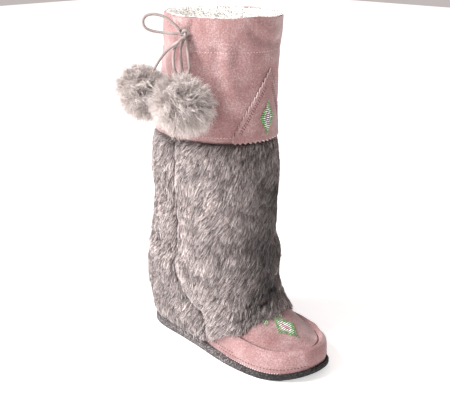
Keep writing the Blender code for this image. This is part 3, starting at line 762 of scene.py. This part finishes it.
def couch_beads(chart, land, across, along):
    """Places and colours of a chart's beads. land turns a step across and along into a surface spot."""
    chance = np.random.default_rng(41)
    places = []
    colours = []
    for row, beads in enumerate(chart):
        for index, letter in enumerate(beads):
            u = (index - (len(beads) - 1) / 2) * across
            v = (row - (len(chart) - 1) / 2) * along
            point, normal, heading = land(u, v)
            lean = chance.normal() * BEAD_LEAN
            places.append(stand_on(point + normal * BEAD_RISE, heading, normal, lean))
            tone = chance.uniform(*BEAD_TONES)
            colours.append([share * tone for share in linear(BEAD_COLOURS[letter])])
    return places, colours


apron_surface = surface_of(apron)


def on_apron(centre, turn):
    """Where steps across and along from a centre land on the apron, seen from above."""
    sideways = Vector((math.cos(turn), math.sin(turn), 0.0))
    onward = Vector((-math.sin(turn), math.cos(turn), 0.0)) * -1

    def land(u, v):
        spot = Vector(centre) / 1000 + sideways * u + onward * v
        spot.z = OUTSIDE
        point, normal, _, _ = apron_surface.ray_cast(spot, Vector((0.0, 0.0, -1.0)))
        if point is None:
            spot.z = APRON_TOP
            point, normal, _, _ = apron_surface.find_nearest(spot)
        return point, normal, onward

    return land


places = []
colours = []
for chart, centre, degrees in TOE_CHARTS:
    land = on_apron(centre, math.radians(degrees))
    more_places, more_colours = couch_beads(chart, land, BEAD_ROW, BEAD_PITCH)
    places += more_places
    colours += more_colours
toe_beads = sow("toe_beads", new_bead(), places, glass, colours)
join(toe_beads, "beads", "toe_beadwork")


# Fur shaft. Two rabbit hides, hair side out, sewn together down the two sides and combed down. Under the
# long hair lies a dense dark down, which shows where the hair parts and along the seams.
HAIR_WIDTH = 0.00048
HAIR_ROOT_DEPTH = 0.0022
HAIRS = 47000
HAIR_LENGTH = 0.0140
HAIR_STAND = 0.0042
WISP_SHARE = 0.05
WISP_STAND = 0.0085
LOCK_SPACING = 0.0023
LOCK_PULL = 0.44
ROOT_SCATTER = 0.0014
COMB_TURN = 0.42
ROOTS_TOP = 0.2655
SEAM_WIDTH = 0.008
HAIR_OVER_SOLE = 0.0095
DOWN_VOXEL = 0.0030
DOWN_LUMP = 0.0016
DOWN_LUMP_SIZE = 0.022
# Where the hide's hair is painted darker or paler: partly the hide's own tone, partly painted shade on the
# front and in the crease above the vamp, and painted light on the outer side, which faces the lamp: middle in
# millimetres, radius and tone
HIDE_TONE_LIGHT_AND_SHADE_PATCHES = [
    ((6, -142, 131), 30, 0.20), ((12, -147, 92), 20, 0.04), ((-12, -149, 80), 15, 0.10),
    ((-34, -144, 64), 12, 0.26), ((24, -137, 190), 36, 0.34), ((2, -140, 228), 24, 0.56),
    ((-14, -137, 252), 15, 0.60), ((-30, -134, 150), 26, 0.84),
    ((-56, -102, 200), 34, 1.22), ((-60, -66, 150), 36, 1.22), ((-62, -50, 90), 30, 1.12),
    ((-52, -113, 80), 18, 1.04), ((-64, -58, 250), 24, 1.16), ((60, -60, 180), 38, 0.88),
    ((40, 0, 120), 30, 0.90), ((-30, 10, 190), 34, 1.06), ((0, 20, 90), 24, 0.92),
]

# Troughs and bulges of the hides: pressed in at the ankle, under the cuff and above the vamp, full between
HIDE_FOLDS = [
    ([(-64, -30, 186), (-36, 14, 180), (0, 24, 178)], 20.0, -1.6),
    ([(-66, -50, 132), (-52, -5, 130), (-20, 20, 130)], 15.0, -7.0),
    ([(2, -142, 158), (34, -128, 154), (60, -90, 156), (68, -50, 162)], 18.0, -3.4),
    ([(-30, 14, 90), (-54, -10, 88)], 12.0, 2.4),
    ([(-58, -24, 47), (-50, -4, 45), (-28, 18, 45)], 13.0, -5.0),
    ([(34, -132, 122), (58, -96, 116)], 12.0, 2.6),
    ([(36, -134, 96), (10, -147, 84), (-16, -148, 74), (-40, -138, 60)], 6.5, -4.2),
    ([(-66, -60, 225), (-66, -64, 160), (-66, -60, 120)], 6.0, -1.6),
    ([(-62, -82, 110), (-58, -92, 100)], 5.0, -2.0),
    ([
        (0, -140, 268), (-42, -122, 268), (-64, -76, 268), (-56, -24, 268), (0, 10, 268), (56, -24, 268),
        (64, -76, 268), (42, -122, 268), (0, -140, 268),
    ], 8.0, -3.0),
    ([(-52, -112, 216), (-44, -126, 186)], 14.0, 1.6),
    ([(-62, -84, 140), (-54, -110, 122)], 14.0, 1.4),
    ([(-50, -96, 60), (-50, -112, 40)], 12.0, 1.6),
]

# Down: the hide's short dense underfur, dark brown grey and quite matt.
down, tree, shader, place = start_material("rabbit_down", Roughness=1.0, Sheen_Weight=0.3)
tuft = add_node(tree, "TexNoise", {"Vector": place, "Scale": blots(3.0), "Detail": 5.0})
colour = add_node(tree, "ValToRGB", {"Fac": tuft}, ((0.30, "#2c2321"), (0.50, "#4f4441"), (0.70, "#70645f")))
bump = add_node(tree, "Bump", {"Height": tuft, "Strength": 1.0, "Distance": 0.002})
connect(tree, shader, {"Base Color": colour, "Normal": bump})


def make_down(node, name):
    """The hide's soft body: its solid, melted smooth and lumped a little."""
    piece = copy_node(node, name, down)
    apply_modifier(piece, "REMESH", mode="VOXEL", voxel_size=DOWN_VOXEL)
    apply_modifier(piece, "SMOOTH", factor=0.6, iterations=12)
    points = read_points(piece.data)
    away = unit(points - middle_line(points))
    lump = np.array([noise.noise(Vector(point) / DOWN_LUMP_SIZE) for point in points])
    write_points(piece.data, points + away * (lump * DOWN_LUMP - DOWN_LUMP / 2)[:, None])
    press_folds(piece, HIDE_FOLDS)
    piece.data.shade_smooth()
    return piece


def comb_hide(name, body, other, count, seed, keep):
    """Long hair over a hide's body, in locks that lean down. keep chooses the faces that it grows on."""
    chance = np.random.default_rng(seed)
    middles, normals, areas = read_faces(body.data)
    outward = ((unit(middles - middle_line(middles))) * normals).sum(axis=1) > 0.25
    chosen = np.flatnonzero(outward & keep(middles) & (middles[:, 2] < ROOTS_TOP))
    weights = areas[chosen] / areas[chosen].sum()

    def scatter(number):
        picked = chosen[chance.choice(len(chosen), number, p=weights)]
        spread = np.cross(normals[picked], chance.normal(size=(number, 3)))
        return middles[picked] + unit(spread) * chance.uniform(0, ROOT_SCATTER, (number, 1)), normals[picked]

    number = int(areas[chosen].sum() / LOCK_SPACING**2)
    lock_roots, lock_normals = scatter(number)
    turn = np.array([
        noise.noise(Vector(root) / 0.040) * 0.60 + noise.noise(Vector(root) / 0.011) * 0.35
        for root in lock_roots
    ])
    turn -= COMB_TURN
    lock_rise = chance.uniform(0.10, 0.34, number)
    lock_length = chance.uniform(0.75, 1.2, number)
    lock_tone = chance.uniform(0.60, 1.26, number)
    lock_way = combed(lock_normals, turn)
    lock_reach = (lock_way + lock_normals * lock_rise[:, None]) * (HAIR_LENGTH * lock_length)[:, None]
    lock_tips = lock_roots + lock_reach

    roots, root_normals = scatter(count)
    member = nearest_of(lock_roots, roots)
    way = combed(root_normals, turn[member] + chance.normal(size=count) * 0.15)
    rise = lock_rise[member] * chance.uniform(0.6, 1.4, count)
    length = HAIR_LENGTH * lock_length[member] * chance.uniform(0.65, 1.15, count)
    seam_gap = np.array([other.find_nearest(Vector(root))[3] for root in roots])
    near_seam = np.clip(seam_gap / SEAM_WIDTH, 0.0, 1.0)
    # Shorter at the seams, over the sole and under the cuff
    length *= 0.50 + 0.50 * near_seam
    length *= np.clip((roots[:, 2] - 0.006) / 0.016, 0.25, 1.0)
    length *= np.clip((0.280 - roots[:, 2]) / 0.024, 0.5, 1.0)
    pull = LOCK_PULL * near_seam[:, None]
    tips = roots + (way + root_normals * rise[:, None]) * length[:, None]
    tips = tips * (1 - pull) + lock_tips[member] * pull
    body_surface = surface_of(body)
    stand = np.array([body_surface.find_nearest(Vector(tip))[3] for tip in tips])
    wisp = chance.random(count) < WISP_SHARE
    limit = np.where(wisp, WISP_STAND, HAIR_STAND)
    shorter = np.minimum(1.0, limit / np.maximum(stand, 1e-6))
    tips = roots + (tips - roots) * shorter[:, None]
    length *= shorter
    tips[:, 2] = np.maximum(tips[:, 2], HAIR_OVER_SOLE)
    bends = roots + way * (length * 0.42)[:, None] + root_normals * (length * (rise * 0.6 + 0.16))[:, None]
    bends = bends * 0.8 + (roots + tips) / 2 * 0.2
    lines = np.stack([roots - root_normals * HAIR_ROOT_DEPTH, bends, tips], axis=1)
    flat = unit(np.cross(way, root_normals))
    twist = chance.uniform(-0.9, 0.9, (count, 1))
    across = flat * np.cos(twist) + root_normals * np.sin(twist)

    cloud = np.array([noise.noise(Vector(root) / 0.016) for root in lock_roots])[member]
    tone = lock_tone[member] * chance.uniform(0.70, 1.22, count)
    tone = tone * (0.45 + 0.55 * near_seam) * (1 + 0.36 * cloud)
    # Painted light and shade, with the hide's own tone, from the patches
    shade = np.ones(count)
    for spot, radius, strength in HIDE_TONE_LIGHT_AND_SHADE_PATCHES:
        gap = np.linalg.norm(roots * 1000 - np.array(spot), axis=1)
        shade *= 1 + (strength - 1) * np.exp(-((gap / radius) ** 2))
    plain = hair_stops("#3d3331", "#8b7e7c", "#bfb2b0")
    pale = hair_stops("#574b49", "#b0a3a1", "#efe6e4")
    dark = hair_stops("#1c1514", "#3f3431", "#5c504c")
    kind = chance.choice(3, count, p=[0.50, 0.28, 0.22])
    # Pale hairs stay paler in the patches' painted shade and darker tone
    tone *= np.where(kind == 1, shade ** 0.55, shade ** 1.25)
    colours = np.stack([plain, pale, dark])[kind] * tone[:, None, None]
    width = HAIR_WIDTH * chance.uniform(0.7, 1.35, count)
    return grow_hairs(name, lines, across, width, colours, rabbit_hair)


def combed(normals, turn):
    """Down along the surface, turned sideways by an angle."""
    fall = np.array([0.0, 0.0, -1.0]) - normals * -normals[:, 2:3]
    fall = unit(fall)
    aside = np.cross(normals, fall)
    return fall * np.cos(turn)[:, None] + aside * np.sin(turn)[:, None]


front_down = make_down("fur_front", "fur_front_down")
back_down = make_down("fur_back", "fur_back_down")
join(front_down, "fur", "fur_front")
join(back_down, "fur", "fur_back")
front_surface = surface_of(front_down)
back_surface = surface_of(back_down)
for name, body, other, seed, keep in (
    ("fur_front_hair_outer", front_down, back_surface, 21, lambda middles: middles[:, 0] < 0),
    ("fur_front_hair_inner", front_down, back_surface, 22, lambda middles: middles[:, 0] >= 0),
    ("fur_back_hair", back_down, front_surface, 23, lambda middles: np.full(len(middles), True)),
):
    join(comb_hide(name, body, other, HAIRS, seed, keep), "fur")


# Cuff. A band of the same pink suede round the top of the shaft, its upper edge turned over the fleece.
# A line of stitches below the edge makes the drawstring's channel, and the pull of the bow gathers it.
CHANNEL_HEIGHT = 0.3625
CHANNEL_WIDTH = 0.0022
CHANNEL_DEPTH = 0.0006
PUFF_HEIGHT = 0.380
PUFF_WIDTH = 0.009
PUFF_RISE = 0.0007
RIM_START = 0.372
RIM_WIDTH = 0.026
HEM_STITCHING = 0.2705
EYELET_ANGLE = 80.5
EYELET_SPREAD = 5.0
CUFF_CUTS = 11

cuff = copy_node("cuff", "suede_cuff", pink_suede)
cuff_low, cuff_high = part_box("cuff")
bpy.ops.object.mode_set(mode="EDIT")
for index in range(1, CUFF_CUTS):
    bpy.ops.mesh.select_all(action="SELECT")
    height = cuff_low.z + (cuff_high.z - cuff_low.z) * index / CUFF_CUTS
    bpy.ops.mesh.bisect(plane_co=(0.0, 0.0, height), plane_no=(0.0, 0.0, 1.0))
bpy.ops.object.mode_set(mode="OBJECT")
soften(cuff, edge=0.0005, levels=2)
press_folds(cuff, SHAFT_FOLDS)
cuff_middle = (cuff_low.y + cuff_high.y) / 2
points = read_points(cuff.data)
rim = np.clip((points[:, 2] - RIM_START) / RIM_WIDTH, 0.0, 1.0) ** 2
turn_round = np.arctan2(-points[:, 0], cuff_middle - points[:, 1])
points[:, 2] += rim * (0.0012 * np.sin(3 * turn_round + 0.8) + 0.0008 * np.sin(7 * turn_round))
groove = np.exp(-(((points[:, 2] - CHANNEL_HEIGHT) / CHANNEL_WIDTH) ** 2)) * -CHANNEL_DEPTH
puff = np.exp(-(((points[:, 2] - PUFF_HEIGHT) / PUFF_WIDTH) ** 2)) * PUFF_RISE
points += unit((points - middle_line(points)) * [1.0, 1.0, 0.0]) * (groove + puff)[:, None]
write_points(cuff.data, points)
join(cuff, "suede", "cuff")

cuff_surface = surface_of(cuff)


def on_shaft(surface, degrees, height):
    """The outermost point of a surface at an angle from the toe towards the outer side, and its normal."""
    angle = math.radians(degrees)
    way = Vector((-math.sin(angle), -math.cos(angle), 0.0))
    start = Vector((0.0, cuff_middle, height)) + way * OUTSIDE
    point, normal, _, _ = surface.ray_cast(start, -way)
    return point, normal


def round_the_shaft(surface, first, last, height):
    return [on_shaft(surface, degrees, height)[0] for degrees in np.arange(first, last, 2.0)]


channel = round_the_shaft(cuff_surface, -262, 78, CHANNEL_HEIGHT)
rows = stitch_row(channel, cuff_surface, pitch=0.0034, sink=0.0)
hem_line = round_the_shaft(cuff_surface, 30, 338, HEM_STITCHING)
rows += stitch_row(hem_line, cuff_surface, pitch=0.0034, sink=0.0)
cuff_stitches = sow("cuff_stitches", new_stitch(length=0.0019, thickness=0.0006), rows, pale_thread)
join(cuff_stitches, "suede")

# Where the lace leaves the channel: two stubs from the knot into the eyelets.
for aside in (-1, 1):
    eyelet, normal = on_shaft(cuff_surface, EYELET_ANGLE + aside * EYELET_SPREAD, KNOT.z - 0.002)
    join(lay_lace("lace_stub_%d" % (aside + 2), [
        KNOT + Vector((0.001, aside * -0.002, -0.001)),
        (KNOT + eyelet) / 2 + normal * 0.0016,
        eyelet - normal * 0.0012,
    ]), "lace")


# Peak. A pointed patch of the same suede, pinked all round with zigzag shears and sewn on over the cuff's
# front with two rows of stitches, its lower edge hanging just past the hem.
PEAK_LEFT = 31.4
PEAK_RIGHT = -38.5
PEAK_TOP = (-2.5, 0.3400)
PEAK_FOOT = 0.2660
TEETH = 30
TOOTH = 0.0050
FOOT_TOOTH = 0.0024
PEAK_LIFT = 0.0008
PEAK_FLARE = 0.0010
PEAK_THICKNESS = 0.0016
PEAK_ROWS = 18
PEAK_INSETS = (0.0030, 0.0052)
PEAK_STEEPNESS = 1.9

bpy.ops.object.select_all(action="DESELECT")
bpy.ops.mesh.primitive_grid_add(x_subdivisions=2 * TEETH, y_subdivisions=PEAK_ROWS, size=2.0)
peak = bpy.context.object
peak.name = "suede_peak"
peak.data.name = "suede_peak"


def peak_edge(degrees):
    """How high the patch reaches at an angle, before pinking."""
    top_angle, top_height = PEAK_TOP
    side = PEAK_LEFT if degrees > top_angle else PEAK_RIGHT
    return top_height + (PEAK_FOOT + 0.002 - top_height) * (degrees - top_angle) / (side - top_angle)


for vert in peak.data.vertices:
    u, v = (vert.co.x + 1) / 2, (vert.co.y + 1) / 2
    degrees = PEAK_LEFT + (PEAK_RIGHT - PEAK_LEFT) * u
    step = round(u * 2 * TEETH)
    foot = PEAK_FOOT - FOOT_TOOTH * (1 - abs(step % 4 - 2) / 2)
    height = foot + (peak_edge(degrees) + TOOTH * (step % 2) - foot) * v
    point, normal = on_shaft(cuff_surface, degrees, max(height, cuff_low.z + 0.0012))
    flare = PEAK_FLARE * max(0.0, 1 - (height - foot) / 0.010)
    vert.co = Vector((point.x, point.y, height)) + normal * (PEAK_LIFT + flare)
peak.data.materials.append(pink_suede)
peak.data.materials.append(cut_suede)
bpy.ops.object.mode_set(mode="EDIT")
bpy.ops.mesh.select_all(action="SELECT")
bpy.ops.mesh.normals_make_consistent(inside=False)
bpy.ops.object.mode_set(mode="OBJECT")
if sum(face.normal.y for face in peak.data.polygons) > 0:
    peak.data.flip_normals()
apply_modifier(peak, "SOLIDIFY", thickness=PEAK_THICKNESS, offset=1.0, material_offset_rim=1)
apply_modifier(
    peak, "BEVEL", width=0.0003, segments=1, limit_method="ANGLE", angle_limit=math.radians(50),
)
peak.data.shade_smooth()
join(peak, "suede", "cuff_peak")

peak_surface = surface_of(peak)
rows = []
for inset in PEAK_INSETS:
    for first, last in ((PEAK_TOP[0] + 2.5, PEAK_LEFT - 4.5), (PEAK_TOP[0] - 2.5, PEAK_RIGHT + 4.5)):
        line = []
        for degrees in np.linspace(first, last, 24):
            height = peak_edge(degrees) - inset * PEAK_STEEPNESS
            if height > PEAK_FOOT + 0.002:
                line.append(on_shaft(peak_surface, degrees, height)[0])
        rows += stitch_row(line, peak_surface, pitch=0.0031, sink=0.0)
peak_stitches = sow("peak_stitches", new_stitch(length=0.0019, thickness=0.0014), rows, dark_thread_with_painted_shade)
join(peak_stitches, "suede")


# Cuff beadwork. The same glass seed beads, couched down on the peak in a narrow upright diamond: leaf green
# outside, pale green within, lilac and white in the middle.
CUFF_BEADS_ANGLE = -2.4
CUFF_BEADS_HEIGHT = 0.2900
CUFF_BEADS_CLOSER = 0.82
CUFF_CHART = diamond("g gg glg gllg glwwlg glwvwlg gglwvwlgg gglvwwvlgg gglwvwwvwlgg")


def on_peak(u, v):
    """Where steps across and down from the diamond's middle land on the peak, seen from the front."""
    centre, _ = on_shaft(peak_surface, CUFF_BEADS_ANGLE, CUFF_BEADS_HEIGHT)
    point, normal, _, _ = peak_surface.ray_cast(centre + Vector((u, -0.05, -v)), Vector((0.0, 1.0, 0.0)))
    return point, normal, Vector((0.0, 0.0, -1.0))


places, colours = couch_beads(CUFF_CHART, on_peak, BEAD_ROW * CUFF_BEADS_CLOSER, BEAD_PITCH)
cuff_beads = sow("cuff_beads", new_bead(), places, glass, colours)
join(cuff_beads, "beads", "cuff_beadwork")


# Fleece. The lining's pile inside the collar: short cream curls of lamb's wool, grown on the upper's inner
# wall as far down as the eye can see, and ending about level with the rim.
FLEECE_CURLS = 20000
FLEECE_LENGTH = 0.0060
FLEECE_WIDTH = 0.0022
FLEECE_BOTTOM = 0.300
FLEECE_OVER_RIM = 0.0012
FLEECE_SCATTER = 0.0015

chance = np.random.default_rng(31)
middles, normals, areas = read_faces(upper.data)
inward = ((middles - middle_line(middles)) * normals).sum(axis=1) < 0
chosen = np.flatnonzero(inward & (middles[:, 2] > FLEECE_BOTTOM))
picked = chosen[chance.choice(len(chosen), FLEECE_CURLS, p=areas[chosen] / areas[chosen].sum())]
roots = middles[picked] + np.cross(normals[picked], chance.normal(size=(FLEECE_CURLS, 3))) * FLEECE_SCATTER
sway = chance.normal(size=(FLEECE_CURLS, 3)) * 0.55
curls = unit(normals[picked] * 0.9 + sway + np.array([0.0, 0.0, 0.25]))
back = unit(normals[picked] * 0.4 - sway)
reach = FLEECE_LENGTH * chance.uniform(0.5, 1.0, FLEECE_CURLS)[:, None]
bends = roots + curls * reach * 0.6
lines = np.stack([roots, bends, bends + back * reach * 0.4], axis=1)
lines[:, :, 2] = np.minimum(lines[:, :, 2], cuff_high.z + FLEECE_OVER_RIM)
stops = hair_stops("#f6f0ea", "#fcf9f5", "#ffffff")
colours = stops[None] * chance.uniform(0.94, 1.0, FLEECE_CURLS)[:, None, None]
facing = unit(normals[picked] + np.array([0.0, 0.0, 1.2]))
across = unit(np.cross(curls, facing))
width = np.full(FLEECE_CURLS, FLEECE_WIDTH)
pile = grow_hairs("fleece_pile", lines, across, width, colours, wool_pile, facing)
join(pile, "insole")


# Floor and light. A large soft lamp hangs high on the left, a little behind the boot, with a much weaker
# one in front on the left, in a slightly warm surround. So the outer side is nearly burnt out and the toe
# throws a small soft shadow to the right.
SURROUND_COLOUR = (1.0, 0.92, 0.905, 1.0)
SURROUND_STRENGTH = 0.54

# White acrylic: a smooth matt sheet that is lit from below as well, so that it burns out to white.
acrylic, tree, shader, place = start_material("white_acrylic_sweep", Roughness=0.9, Emission_Strength=0.50)
connect(tree, shader, {"Base Color": linear("#fbfbfa"), "Emission Color": linear("#ffffff")})
bpy.ops.object.select_all(action="DESELECT")
bpy.ops.mesh.primitive_plane_add(size=8.0)
floor = bpy.context.object
floor.name = "floor"
floor.data.materials.append(acrylic)


def hang_lamp(name, place, aim, size, watts):
    lamp = new_object(name, bpy.data.lights.new(name, "AREA"))
    lamp.data.size = size
    lamp.data.energy = watts
    lamp.location = place
    lamp.rotation_euler = (Vector(aim) - Vector(place)).to_track_quat("-Z", "Y").to_euler()


hang_lamp("key_lamp", (-1.7, 0.65, 1.70), aim=(0.0, -0.06, 0.18), size=1.2, watts=128.0)
hang_lamp("front_lamp", (-2.1, -1.0, 1.3), aim=(0.0, -0.08, 0.18), size=1.4, watts=12.0)
world = bpy.data.worlds.new("studio")
world.use_nodes = True
connect(world.node_tree, world.node_tree.nodes["Background"], {
    "Color": SURROUND_COLOUR, "Strength": SURROUND_STRENGTH,
})
bpy.context.scene.world = world
bpy.context.scene.view_settings.view_transform = "Standard"
